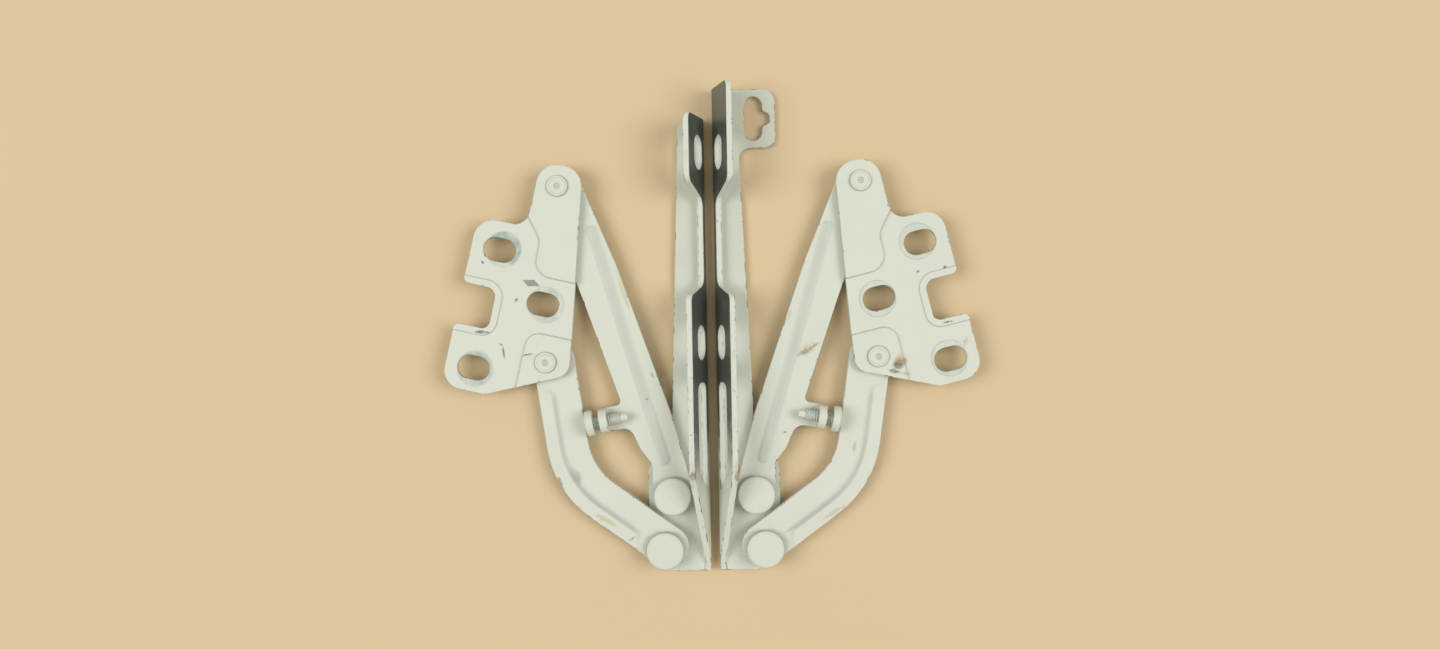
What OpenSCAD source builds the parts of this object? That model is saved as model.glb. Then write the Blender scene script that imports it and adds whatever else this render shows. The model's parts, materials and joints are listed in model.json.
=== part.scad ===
// A handed pair of four-bar bonnet hinges, lying closed on a bench with the bonnet brackets back to back.
// Each hinge is drawn once, for the right-hand side: x runs outwards from the mid-line between the two
// hinges, y runs up from the bottom edge of the bracket's foot, and z runs up from the bench.

/* [Pivots] */
// Pivot A, long arm on the body plate, outwards from the mid-line
a_x = 75.8; // [74:0.1:78]
// Pivot A, up from the foot's bottom edge
a_y = 195.6; // [193:0.1:198]
// Pivot B, long arm on the bonnet bracket, outwards from the mid-line
b_x = 21; // [20:0.1:22]
// Pivot B, up from the foot's bottom edge
b_y = 39.1; // [37:0.1:41]
// Pivot C, curved arm on the body plate, outwards from the mid-line
c_x = 83.2; // [82:0.1:85]
// Pivot C, up from the foot's bottom edge
c_y = 107.5; // [106:0.1:109]
// Pivot D, curved arm on the bonnet bracket, outwards from the mid-line
d_x = 25.2; // [24:0.1:26.5]
// Pivot D, up from the foot's bottom edge
d_y = 11.8; // [11:0.1:12.5]

/* [Body plate] */
// Sheet thickness of the body plate
plate_t = 3; // [2.5:0.1:3.6]
// Turn of the plate's slots from the x axis
plate_turn = 13.5; // [10:0.5:16]
// How far the pads around the pivots stand above the bolted area
pad_step = 1.5; // [0.8:0.1:2]
// How far the lip around the notch stands above the bolted area
lip_step = 0.8; // [0.4:0.1:1.2]
// Width of the lip around the notch
lip_w = 4; // [3:0.1:5]
// Inner corner of the plate, inwards from pivot C
plate_in = 12.8; // [12:0.1:14]
// Inner corner of the plate, below pivot C
plate_in_low = 3.8; // [3:0.1:5]
// Where the plate's lower edge turns to run along the slots, out from pivot C
plate_knee = 26.5; // [25:0.1:29]
// Edge of the pad around pivot C, out from that pivot
pad_c_out = 12.4; // [12:0.1:14]
// Edge of the pad around pivot C, above that pivot
pad_c_high = 14; // [13:0.1:15]
// Edge of the pad around pivot A, out from pivot C
pad_a_out = 16.2; // [15:0.1:18]
// Lower edge of the pad around pivot A, above pivot C
pad_a_low = 41.2; // [40:0.1:41.5]
// Where the edge of the pad around pivot A turns inwards, above pivot C
pad_a_knee = 59; // [57:0.1:61]
// Outer edge of the plate, from pivot C along the slots
plate_reach = 49.2; // [47:0.1:52]
// Lower edge of the plate, below pivot C
plate_low = 22.3; // [21.5:0.1:24]
// Upper edge of the bolted area, above pivot C
plate_high = 64.3; // [62:0.1:66]
// Depth of the notch between the outer slots
notch_d = 17.4; // [14:0.1:18]
// Lower edge of the notch, above pivot C
notch_low = 9.8; // [8:0.1:12]
// Width of the notch
notch_w = 20.8; // [17:0.1:23]
// Radius of the plate around pivot A
plate_eye_r = 10.6; // [10.2:0.1:12]

/* [Plate slots] */
// Width of the plate's slots
slot_w = 12; // [10:0.1:13]
// Length of the plate's slots, end to end
slot_len = 16.4; // [14:0.1:18]
// Distance of the outer slots from pivot C, along the slots
slot_out = 34.9; // [33:0.1:36]
// Spacing of the two outer slots
slot_gap = 60.4; // [58:0.1:62]
// Lower outer slot, below pivot C
slot_low = 10.3; // [8:0.1:12]
// Middle slot, out from pivot C
slot_mid_out = 7.9; // [7:0.1:9.5]
// Middle slot, above pivot C
slot_mid_up = 28.1; // [27:0.1:29]

/* [Arms] */
// Sheet thickness of both arms
arm_t = 4; // [3:0.1:5]
// Radius of the long arm's eye at pivot A
long_eye_r = 10.4; // [9.5:0.1:11]
// Radius of the long arm's eye at pivot B
long_foot_r = 10; // [9:0.1:10.4]
// Long arm's edge towards the bracket, from the line between its pivots
long_back = 13.6; // [12:0.1:14]
// Long arm's edge towards the curved arm, from the line between its pivots
long_front = 8.1; // [7.5:0.1:9]
// Where the stop's ear leaves the long arm, from pivot A
ear_from = 113.9; // [112:0.1:115]
// Where the stop's ear joins the long arm again, from pivot A
ear_to = 126; // [125:0.1:128]
// Width of the long arm's pressed bead
bead_w = 7; // [5:0.1:8]
// Height of the pressed beads
bead_h = 0.8; // [0.4:0.1:1.2]
// Space between the bead and the long arm's back edge at its upper end
bead_edge = 2; // [1.5:0.1:3]
// Space between the bead and the long arm's eye at pivot B
bead_stop = 5; // [4:0.1:7]
// Lower end of the bead, off the line between the long arm's pivots
bead_off = 1; // [0.5:0.1:1.5]
// Width of the curved arm
curved_w = 21; // [19:0.1:22]
// Corner of the curved arm's centre line, outwards from the mid-line
bend_x = 71; // [69:0.1:73]
// Corner of the curved arm's centre line, up from the foot's bottom edge
bend_y = 47.8; // [46:0.1:50]
// Radius of the curved arm's bend at its centre line
bend_r = 42; // [34:1:48]
// Centre line of the curved arm, inwards from pivot C
curved_in_c = 3.3; // [2.5:0.1:4]
// Centre line of the curved arm, up from pivot C
curved_up_c = 0.5; // [0.2:0.1:0.8]
// Centre line of the curved arm, inwards from pivot D
curved_in_d = 1.2; // [0.8:0.1:1.6]
// Centre line of the curved arm, up from pivot D
curved_up_d = 1.7; // [1.2:0.1:2.2]
// Width of the lowered strip along the curved arm's outer edge
strip_w = 6; // [4:0.1:7]
// Ends of the lowered strip, from the curved arm's ends
strip_end = 11; // [9:0.1:14]
// Radius of the clearance eye in the curved arm at pivot C
free_bore_r = 7.05; // [6.9:0.05:7.2]
// Radius of the curved arm around that eye
free_eye_r = 9.8; // [9:0.1:10]
// Shift of the clearance eye inwards from pivot C
free_in = 1.55; // [1.4:0.05:1.6]
// Shift of the clearance eye up from pivot C
free_up = 0.55; // [0.4:0.05:0.6]

/* [Stop bolt] */
// Middle of the stop tab, outwards from the mid-line
tab_x = 54.6; // [54:0.1:56]
// Middle of the stop tab, up from the foot's bottom edge
tab_y = 77.8; // [77:0.1:79]
// Fall of the bolt towards its head
bolt_tilt = 9.7; // [9:0.1:10.5]
// Width of the stop tab
tab_w = 12; // [10:0.1:13]
// Bolt axis above the top of the long arm
bolt_up = 3.8; // [3.6:0.1:4.4]
// Radius of the bolt's shank
bolt_r = 3; // [2.5:0.1:3.2]
// Radius of the bolt's head
bolt_head_r = 6.5; // [6:0.1:7]
// Height of the bolt's head
bolt_head_h = 4.3; // [3.5:0.1:5]
// Space between the bolt's head and the curved arm
stop_gap = 0.4; // [0.3:0.05:0.6]
// Length of the bolt from the head's face to the drive end
bolt_len = 21.4; // [20:0.1:23]
// Length of the six-sided drive end
drive_len = 3; // [2:0.1:4]
// Size of the drive end across its corners
drive_w = 4.8; // [4:0.1:5]

/* [Rivets and bushes] */
// Radius of the rivets' shoulder, which the bushes turn on
pin_r = 4; // [3.5:0.1:4.2]
// Radius of the rivets' neck in the sheet
neck_r = 3; // [2.5:0.1:3.2]
// Radius of the rivets' head
head_r = 9.5; // [9:0.1:10]
// Height of the rivets' head
head_h = 3; // [2.5:0.1:4]
// Radius of the rivets' formed tail on the plate
tail_r = 5.2; // [4.5:0.1:6]
// Height of the rivets' formed tail on the plate
tail_h = 1.6; // [1:0.1:2.2]
// Radius of the flush tail under the foot
flush_r = 5; // [4.5:0.1:5.5]
// Depth of the flush tail's cone
flush_h = 1.6; // [1:0.1:2]
// Running clearance between a rivet's shoulder and its bush
pin_play = 0.05; // [0.02:0.01:0.1]
// Wall of the bushes
bush_wall = 1; // [0.7:0.05:1.1]
// Radius of the bushes' flanges
bush_flange_r = 8; // [7:0.1:8.5]
// Thickness of the bushes' flanges
bush_flange_t = 1; // [0.8:0.05:1.3]
// Play between a flange and the face that it turns on
face_play = 0.1; // [0.05:0.01:0.3]

/* [Bonnet bracket] */
// Sheet thickness of the bracket
web_t = 3; // [2.5:0.1:3.2]
// Space between the backs of the two brackets
pair_gap = 4.4; // [3:0.1:8]
// Lean of the flange over the web
lean = 18; // [14:0.5:20]
// Outside radius of the bend between web and flange
fold_r = 4.5; // [4:0.1:5]
// Height of the flange
flange_h = 26; // [24:0.1:30]
// Height of the flange between its two tall stretches
flange_low = 7.5; // [7:0.1:9]
// Length of the left bracket
left_len = 229; // [226:0.5:234]
// How much longer the right bracket is
right_more = 15.2; // [14.5:0.1:20]
// Start of the low stretch of the flange, from the foot's bottom edge
low_from = 139; // [137:0.5:142]
// End of the low stretch of both flanges, from the left bracket's upper end
tall_end = 33; // [31:0.5:35]
// Run of the slope at the start of the low stretch
slope_down = 6; // [5:0.5:8]
// Run of the slope at the end of the low stretch
slope_up = 8; // [6:0.5:10]
// Rounding of the flange's upper end
flange_end_r = 5; // [4:0.1:6]
// Where the flange starts to fall towards the foot's bottom edge
fall_from = 50; // [46:0.5:54]
// Where that fall ends, from the foot's bottom edge
fall_to = 2; // [1:0.1:3]
// What is left of the flange there, above the web
fall_rest = 0.4; // [0.2:0.1:1]
// Outer edge of the foot, from the mid-line
foot_x = 33.4; // [32.5:0.1:35]
// Upper corner of the foot, above pivot B
foot_up = 15; // [14:0.1:16]
// Run of the slope from the foot to the web's free edge
foot_slope = 12; // [10:0.1:14]
// Free edge of the web near the foot, from the mid-line
web_x = 21.3; // [20:0.1:22]
// Free edge of the web near its upper end, from the mid-line
web_end_x = 15.4; // [14.5:0.1:17]
// Width of the flange's slots
flange_slot_w = 12; // [10:0.1:13]
// Length of the flange's slots, end to end
flange_slot_len = 17.5; // [15:0.1:19]
// Middle of the flange's slots, up the flange from the bench
flange_slot_up = 13.8; // [13:0.1:15]
// Lower slot of the flange, from the foot's bottom edge
flange_slot_1 = 116; // [114:0.5:118]
// Upper slot of both flanges, from the left bracket's upper end
flange_slot_end = 18; // [16:0.5:20]
// Upper end of the flange's window, from the foot's bottom edge
window_to = 96; // [92:0.5:98]
// Lower end of the flange's window, from the foot's bottom edge
window_from = 41; // [39:0.5:46]
// Height of the flange's window
window_h = 12.5; // [10:0.1:13.5]
// Lower edge of the flange's window, up the flange from the bench
window_up = 8; // [7.5:0.1:9]
// How far the window's slope stays above the flange's fall, along the bracket
window_in = 4; // [3:0.1:5]
// Height of the window's blunt lower end
window_tip = 1; // [0.5:0.1:2]

/* [Prop tab] */
// Outer edge of the right bracket's tab, from the mid-line
prop_x = 34.3; // [33:0.1:37]
// Width of the tab, along the bracket
prop_w = 29.8; // [28:0.1:32]
// Middle of the keyhole, from the mid-line
key_x = 23; // [22.5:0.1:24]
// Width of the keyhole
key_w = 9.1; // [8:0.1:9.6]
// Length of the keyhole, end to end
key_len = 22.5; // [20:0.1:23]
// Width of the keyhole's side lobe where it leaves the keyhole
key_lobe_w = 8.2; // [7:0.1:9]
// Width of that lobe's blunt tip
key_tip_w = 4.2; // [3.8:0.1:5]
// Rounding of the tip's corners
key_tip_r = 2; // [1.5:0.1:2.2]
// Reach of that lobe from the keyhole's middle
key_lobe_reach = 8.4; // [7.6:0.1:8.8]

/* [Hidden] */
$fn = 64;
past = 1;                                                     // how far a cutting tool runs past a face
fillet_steps = 8;                                             // straight pieces in a rounded corner
end_share = 0.94;                                             // rounding of an eye's end, of its radius

paint = "#dcdfd3";                                            // pale grey body paint
bush_grey = "#8b8a80";                                        // bush metal

a = [a_x, a_y];
b = [b_x, b_y];
c = [c_x, c_y];
d = [d_x, d_y];

// Heights of the layers above the bench
rest_z = max(head_h, web_t);                                  // top of the foot and of the lower heads
arm_z = rest_z + face_play + bush_flange_t;                   // underside of both arms
arm_top = arm_z + arm_t;
turn_z = arm_top + bush_flange_t + face_play;                 // underside of the pads and of the upper heads
plate_z = turn_z - pad_step;                                  // underside of the bolted area
bolt_z = arm_top + bolt_up;
bush_r = pin_r + pin_play + bush_wall;                        // outside of the bushes, inside of the eyes
foot_z = rest_z - web_t;                                      // underside of the foot
run_gap = 0.3;                                                // space between pieces that pass each other
press_h = min(bead_h, bush_flange_t + face_play - run_gap);   // beads stay clear of what passes over them

// Frames: the plate's own axes start at pivot C, the long arm's run from A to B, the stop's from the tab
plate_u = [cos(plate_turn), sin(plate_turn)];
plate_v = [-sin(plate_turn), cos(plate_turn)];
a_in_plate = [(a - c) * plate_u, (a - c) * plate_v];
long_len = norm(b - a);
long_u = (b - a) / long_len;
long_v = [-long_u[1], long_u[0]];
stop_u = [cos(bolt_tilt), -sin(bolt_tilt)];
stop_v = [sin(bolt_tilt), cos(bolt_tilt)];

// The curved arm's centre line, and where the stop bolt's face lies on it
curved_c = c + [-curved_in_c, curved_up_c];
curved_d = d + [-curved_in_d, curved_up_d];
bend = [bend_x, bend_y];
upper_u = (bend - curved_c) / norm(bend - curved_c);
upper_n = [upper_u[1], -upper_u[0]];                          // towards the long arm
edge_point = curved_c + upper_n * curved_w / 2;
tab_mid = [tab_x, tab_y];
stop_reach = ((edge_point - tab_mid) * upper_n) / (stop_u * upper_n);
lag = bolt_head_r * abs(stop_v * upper_n) / abs(stop_u * upper_n);
face_e = stop_reach - lag - stop_gap;                         // the head's face, from the tab's middle

// The bracket's folded section
fold_in = fold_r / tan((90 - lean) / 2);                      // corner to the start of the bend
base_x = pair_gap / 2 - (fold_in - fold_r);                   // where web and flange would meet unbent
right_len = left_len + right_more;
low_to = left_len - tall_end;                                 // end of the low stretch of both flanges
flange_slot_2 = left_len - flange_slot_end;                   // upper slot of both flanges

// Points of a rounded corner between its neighbours, for a corner given as [x, y, radius]
function corner(p, q, s) =
    let (
        o = [q[0], q[1]],
        e1 = ([p[0], p[1]] - o) / norm([p[0], p[1]] - o),
        e2 = ([s[0], s[1]] - o) / norm([s[0], s[1]] - o),
        half = acos(max(-1, min(1, e1 * e2))) / 2,
        middle = o + (e1 + e2) / norm(e1 + e2) * q[2] / sin(half),
        t1 = o + e1 * q[2] / tan(half) - middle,
        t2 = o + e2 * q[2] / tan(half) - middle,
        from = atan2(t1[1], t1[0]),
        turn = atan2(t1[0] * t2[1] - t1[1] * t2[0], t1 * t2)
    )
    q[2] == 0 ? [o] : [
        for (i = [0 : fillet_steps])
            middle + q[2] * [cos(from + turn * i / fillet_steps), sin(from + turn * i / fillet_steps)]
    ];

// A closed outline whose corners are rounded
function rounded(pts) =
    let (n = len(pts))
    [for (i = [0 : n - 1]) each corner(pts[(i + n - 1) % n], pts[i], pts[(i + 1) % n])];

// One edge of a band of two straight runs and a bend, at a distance to the left of its centre line
function band_edge(from, at, to, r, left) =
    let (
        u1 = (at - from) / norm(at - from),
        u2 = (to - at) / norm(to - at),
        n1 = [-u1[1], u1[0]],
        n2 = [-u2[1], u2[0]],
        turned = u1[0] * u2[1] - u1[1] * u2[0],
        miter = (n1 + n2) / (1 + n1 * n2),
        o = at + miter * left,
        p1 = from + n1 * left,
        p2 = to + n2 * left
    )
    concat([p1], corner(p1, [o[0], o[1], r - left * sign(turned)], p2), [p2]);

// The area of a band between two distances to the left of its centre line, with slanted ends if wanted
function band(from, at, to, r, low, high, slant = 0) =
    let (
        back = band_edge(from, at, to, r, high),
        low_start = from + slant * (at - from) / norm(at - from),
        low_end = to + slant * (at - to) / norm(at - to)
    )
    concat(band_edge(low_start, at, low_end, r, low), [for (i = [len(back) - 1 : -1 : 0]) back[i]]);

function on_long(s, n, r = 0) = let (q = a + s * long_u + n * long_v) [q[0], q[1], r];
function on_stop(e, f, r = 0) = let (q = tab_mid + e * stop_u + f * stop_v) [q[0], q[1], r];

module at(p, z = 0) {
    translate([p[0], p[1], z]) children();
}

module in_plate(z) {
    translate([c[0], c[1], z]) rotate([0, 0, plate_turn]) children();
}

module in_stop() {
    translate([tab_mid[0], tab_mid[1], bolt_z]) rotate([0, 0, -bolt_tilt]) rotate([0, 90, 0]) children();
}

// A slot with round ends, along x and centred on the origin
module slot(length, width, height) {
    run = length - width;
    translate([-run / 2, -width / 2, 0]) cube([run, width, height]);
    for (end = [-1, 1]) translate([end * run / 2, 0, 0]) cylinder(r = width / 2, h = height);
}

// Both hinges share every piece; the left one is the mirror image
module hand(side) {
    translate([0, -right_len / 2, 0]) mirror([side == "left" ? 1 : 0, 0, 0]) children();
}

// Body plate

notch_p = plate_reach - notch_d;
notch_high = notch_low + notch_w;
notch_low_r = 4;                                              // lower inside corner of the notch
notch_high_r = 5;                                             // upper inside corner of the notch

plate_outline = rounded([
    [-plate_in, -plate_in_low, 8],
    [plate_knee, -plate_low, 4],
    [plate_reach, -plate_low, 9.5],
    [plate_reach, notch_low, 3],
    [notch_p, notch_low, notch_low_r],
    [notch_p, notch_high, notch_high_r],
    [plate_reach, notch_high, 3],
    [plate_reach, plate_high, 10],
    [a_in_plate[0] + plate_eye_r, plate_high, 8],
    [a_in_plate[0] + plate_eye_r, a_in_plate[1] + plate_eye_r, plate_eye_r * end_share],
    [a_in_plate[0] - plate_eye_r, a_in_plate[1] + plate_eye_r, plate_eye_r * end_share],
]);

pad_a_side = a_in_plate[0] + plate_eye_r + past;
pad_a_top = a_in_plate[1] + 2 * plate_eye_r;
pad_in = -2 * plate_in;                                       // beyond the plate's inner edge

pad_a_outline = rounded([
    [pad_in, pad_a_low, 0],
    [pad_a_out, pad_a_low, 9],
    [pad_a_out, pad_a_knee, 9],
    [pad_a_side, plate_high + plate_eye_r / 2, 0],
    [pad_a_side, pad_a_top, 0],
    [pad_in, pad_a_top, 0],
]);

pad_c_outline = rounded([
    [pad_in, -plate_low - past, 0],
    [pad_c_out, -plate_low - past, 0],
    [pad_c_out, pad_c_high, 7.5],
    [pad_in, pad_c_high, 0],
]);

lip_outline = rounded([
    [notch_p - lip_w, notch_low - lip_w, notch_low_r + lip_w],
    [plate_reach + past, notch_low - lip_w, 0],
    [plate_reach + past, notch_high + lip_w, 0],
    [notch_p - lip_w, notch_high + lip_w, notch_high_r + lip_w],
]);

slot_places = [
    [slot_out, slot_gap - slot_low],
    [slot_mid_out, slot_mid_up],
    [slot_out, -slot_low],
];

module plate_area(kind) {
    intersection() {
        polygon(plate_outline);
        union() {
            if (kind == "pads") polygon(pad_a_outline);
            if (kind == "pads") polygon(pad_c_outline);
            if (kind == "lip") polygon(lip_outline);
        }
    }
}

module bolted_area() {
    difference() {
        polygon(plate_outline);
        polygon(pad_a_outline);
        polygon(pad_c_outline);
        polygon(lip_outline);
    }
}

module body_plate(side) {
    color(paint) hand(side) difference() {
        union() {
            in_plate(plate_z) linear_extrude(plate_t) bolted_area();
            in_plate(plate_z + lip_step) linear_extrude(plate_t) plate_area("lip");
            in_plate(turn_z) linear_extrude(plate_t) plate_area("pads");
        }
        for (p = slot_places)
            in_plate(plate_z - past) translate([p[0], p[1], 0]) slot(slot_len, slot_w, 3 * plate_t);
        for (p = [a, c]) at(p, turn_z - past) cylinder(r = neck_r, h = plate_t + 2 * past);
    }
}

// Long arm, with its bead and the turned-up tab for the stop bolt

waist_to = long_len - long_foot_r;                            // end of the hollow above pivot B
waist_from = waist_to - 1.7 * long_foot_r;                    // start of that hollow
waist_edge = long_front - 1;                                  // edge of the arm on both sides of it
waist_d = 3;                                                  // depth of that hollow before it is rounded
back_from = 4.5 * long_eye_r;                                 // where the back edge reaches its full width

long_outline = rounded([
    on_long(-long_eye_r, -long_eye_r, long_eye_r * end_share),
    on_long(-long_eye_r, long_eye_r, long_eye_r * end_share),
    on_long(ear_from / 2, long_front, 80),
    on_long(ear_from, long_front, 2.5),
    on_stop(arm_t / 2, tab_w / 2),
    on_stop(arm_t / 2, -tab_w / 2),
    on_long(ear_to, long_front, 6),
    on_long(waist_from, waist_edge, 8),
    on_long((waist_from + waist_to) / 2, waist_edge - waist_d, 5),
    on_long(waist_to, waist_edge, 6),
    on_long(long_len + long_foot_r, long_foot_r, long_foot_r * end_share),
    on_long(long_len + long_foot_r, -long_foot_r, long_foot_r * end_share),
    on_long(ear_to, -long_back, 60),
    on_long(back_from, -long_back, 80),
]);

bead_ends = [
    on_long(long_eye_r + 2 * bush_flange_r, bead_w / 2 + bead_edge - long_back),
    on_long(long_len - long_foot_r - bead_stop - bead_w / 2, bead_off - bead_w / 2),
];

module bead(z) {
    run = bead_ends[1] - bead_ends[0];
    middle = (bead_ends[0] + bead_ends[1]) / 2;
    at(middle, z) rotate([0, 0, atan2(run[1], run[0])]) slot(norm(run) + bead_w, bead_w, press_h);
}

module long_arm(side) {
    color(paint) hand(side) difference() {
        union() {
            at([0, 0], arm_z) linear_extrude(arm_t) polygon(long_outline);
            bead(arm_top);
            in_stop() {
                translate([0, 0, -arm_t / 2]) cylinder(r = tab_w / 2, h = arm_t);
                translate([0, -tab_w / 2, -arm_t / 2]) cube([bolt_z - arm_z - arm_t / 2, tab_w, arm_t]);
            }
        }
        bead(arm_z);
        for (p = [a, b]) at(p, arm_z - past) cylinder(r = bush_r, h = arm_t + 2 * past);
        in_stop() translate([0, 0, -arm_t]) cylinder(r = bolt_r + pin_play, h = 2 * arm_t);
    }
}

// Curved arm, with the lowered strip along its outer edge

module curved_arm(side) {
    half = curved_w / 2;
    eye = c + [-free_in, free_up];
    strip_c = curved_c + upper_u * strip_end;
    strip_d = curved_d + (bend - curved_d) / norm(bend - curved_d) * strip_end;
    strip = band(strip_c, bend, strip_d, bend_r, half - strip_w, half + past, strip_w);
    color(paint) hand(side) difference() {
        union() {
            at([0, 0], arm_z) linear_extrude(arm_t)
                polygon(band(curved_c, bend, curved_d, bend_r, -half, half));
            at(curved_c, arm_z) cylinder(r = half, h = arm_t);
            at(curved_d, arm_z) cylinder(r = half, h = arm_t);
            at(eye, arm_z) cylinder(r = free_eye_r, h = arm_t);
            at([0, 0], arm_z - press_h) linear_extrude(arm_t)
                polygon(band(strip_c, bend, strip_d, bend_r, half - strip_w, half, strip_w));
        }
        at([0, 0], arm_top - press_h) linear_extrude(press_h + past) polygon(strip);
        at(eye, arm_z - past) cylinder(r = free_bore_r, h = arm_t + 2 * past);
        at(d, arm_z - past) cylinder(r = bush_r, h = arm_t + 2 * past);
    }
}

// Bonnet bracket: a folded section, trimmed to its plan and to the flange's height along its length

section_x = max(foot_x, prop_x) + past;
section_z = flange_h + past;
flange_x = base_x + section_z * tan(lean);

section = rounded([
    [section_x, 0, 0],
    [section_x, web_t, 0],
    [base_x + web_t / tan((90 - lean) / 2), web_t, fold_r - web_t],
    [flange_x + web_t / cos(lean), section_z, 0],
    [flange_x, section_z, 0],
    [base_x, 0, fold_r],
]);

function plan(length, tabbed) = rounded(concat(
    [
        [base_x - past, 0, 0],
        [foot_x, 0, 11.5],
        [foot_x, b_y + foot_up, 12],
        [web_x, b_y + foot_up + foot_slope, 8],
    ],
    tabbed ? [
        [web_end_x, length - prop_w, 5.5],
        [prop_x, length - prop_w, 5],
        [prop_x, length, 6.5],
    ] : [
        [web_end_x, length, 5],
    ],
    [[base_x - past, length, 0]]
));

function profile(length) = rounded([
    [-past, -past, 0],
    [length + past, -past, 0],
    [length + past, flange_h, flange_end_r],
    [low_to, flange_h, 5],
    [low_to - slope_up, flange_low, 6],
    [low_from + slope_down, flange_low, 6],
    [low_from, flange_h, 4],
    [fall_from, flange_h, 20],
    [fall_to, web_t + fall_rest, 0],
    [-past, web_t + fall_rest, 0],
]);

window_outline = rounded([
    [window_to, window_up, 4],
    [window_to, window_up + window_h, 5],
    [fall_from + window_in, window_up + window_h, 12],
    [window_from, window_up + window_tip, 1],
    [window_from + window_in, window_up, 2],
]);

key_lobe = rounded([
    [0, -key_lobe_w / 2, 0],
    [key_w / 2, -key_lobe_w / 2, 0],
    [key_lobe_reach, -key_tip_w / 2, key_tip_r],
    [key_lobe_reach, key_tip_w / 2, key_tip_r],
    [key_w / 2, key_lobe_w / 2, 0],
    [0, key_lobe_w / 2, 0],
]);

// Turns a shape drawn on the flange's back, with x along the bracket and y up the flange, into place
module on_flange() {
    translate([base_x, 0, 0]) rotate([0, lean, 0]) rotate([90, 0, 90]) children();
}

module bonnet_bracket(side) {
    tabbed = side == "right";
    length = tabbed ? right_len : left_len;
    color(paint) hand(side) translate([0, 0, foot_z]) difference() {
        intersection() {
            translate([0, length + past, 0]) rotate([90, 0, 0])
                linear_extrude(length + 2 * past) polygon(section);
            at([0, 0], -past) linear_extrude(flange_h + 3 * past) polygon(plan(length, tabbed));
            translate([base_x - past, 0, 0]) rotate([90, 0, 90])
                linear_extrude(section_x) polygon(profile(length));
        }
        for (y = [flange_slot_1, flange_slot_2])
            on_flange() translate([y, flange_slot_up, -web_t])
                slot(flange_slot_len, flange_slot_w, 3 * web_t);
        on_flange() translate([0, 0, -web_t]) linear_extrude(3 * web_t) polygon(window_outline);
        for (p = [b, d]) {
            at(p, -past) cylinder(r = neck_r, h = web_t + 2 * past);
            at(p, 0) cylinder(r1 = flush_r, r2 = neck_r, h = flush_h);
        }
        if (tabbed) {
            key = [key_x, length - prop_w / 2];
            at(key, -past) rotate([0, 0, 90]) slot(key_len, key_w, web_t + 2 * past);
            at(key, -past) linear_extrude(web_t + 2 * past) polygon(key_lobe);
        }
    }
}

// Stepped rivets: each is turned about its pivot's axis

edge_r = 0.7;                                                 // rounding of the heads' rims

// A rivet of the plate, with its head on the bench side and its formed tail on the plate
module plate_rivet(p) {
    at(p) rotate_extrude() polygon(rounded([
        [0, rest_z - head_h, 0],
        [head_r, rest_z - head_h, edge_r],
        [head_r, rest_z, edge_r],
        [pin_r, rest_z, 0],
        [pin_r, turn_z, 0],
        [neck_r, turn_z, 0],
        [neck_r, turn_z + plate_t, 0],
        [tail_r, turn_z + plate_t, 0],
        [tail_r, turn_z + plate_t + tail_h, edge_r],
        [0, turn_z + plate_t + tail_h, 0],
    ]));
}

// A rivet of the bracket, with its head above the arm and its tail flush under the foot
module bracket_rivet(p) {
    at(p) rotate_extrude() polygon(rounded([
        [0, foot_z, 0],
        [flush_r, foot_z, 0],
        [neck_r, foot_z + flush_h, 0],
        [neck_r, rest_z, 0],
        [pin_r, rest_z, 0],
        [pin_r, turn_z, 0],
        [head_r, turn_z, edge_r],
        [head_r, turn_z + head_h, edge_r],
        [0, turn_z + head_h, 0],
    ]));
}

// Flanged bush, spread over both faces of its arm; play moves its flanges away from the arm
module bush(p, play = 0) {
    low = arm_z - play;
    high = arm_top + play;
    at(p) rotate_extrude() polygon([
        [pin_r + pin_play, low - bush_flange_t],
        [bush_flange_r, low - bush_flange_t],
        [bush_flange_r, low],
        [bush_r, low],
        [bush_r, high],
        [bush_flange_r, high],
        [bush_flange_r, high + bush_flange_t],
        [pin_r + pin_play, high + bush_flange_t],
    ]);
}

module rivet_a(side) {
    color(paint) hand(side) plate_rivet(a);
}

module rivet_b(side) {
    color(paint) hand(side) bracket_rivet(b);
}

module rivet_c(side) {
    color(paint) hand(side) plate_rivet(c);
}

module rivet_d(side) {
    color(paint) hand(side) bracket_rivet(d);
}

module bush_a(side) {
    color(bush_grey) hand(side) bush(a);
}

module bush_b(side) {
    color(bush_grey) hand(side) bush(b);
}

module bush_c(side) {
    color(bush_grey) hand(side) bush(c, face_play);
}

module bush_d(side) {
    color(bush_grey) hand(side) bush(d);
}

// Stop bolt: its head faces the curved arm, and its six-sided drive end lies over the long arm
module stop_bolt(side) {
    color(paint) hand(side) in_stop() union() {
        rotate_extrude() polygon(rounded([
            [0, face_e - bolt_len + drive_len, 0],
            [bolt_r, face_e - bolt_len + drive_len, 0.5],
            [bolt_r, face_e - bolt_head_h, 0],
            [bolt_head_r, face_e - bolt_head_h, edge_r],
            [bolt_head_r, face_e, edge_r],
            [0, face_e, 0],
        ]));
        translate([0, 0, face_e - bolt_len]) cylinder(d = drive_w, h = drive_len + past, $fn = 6);
    }
}

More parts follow.
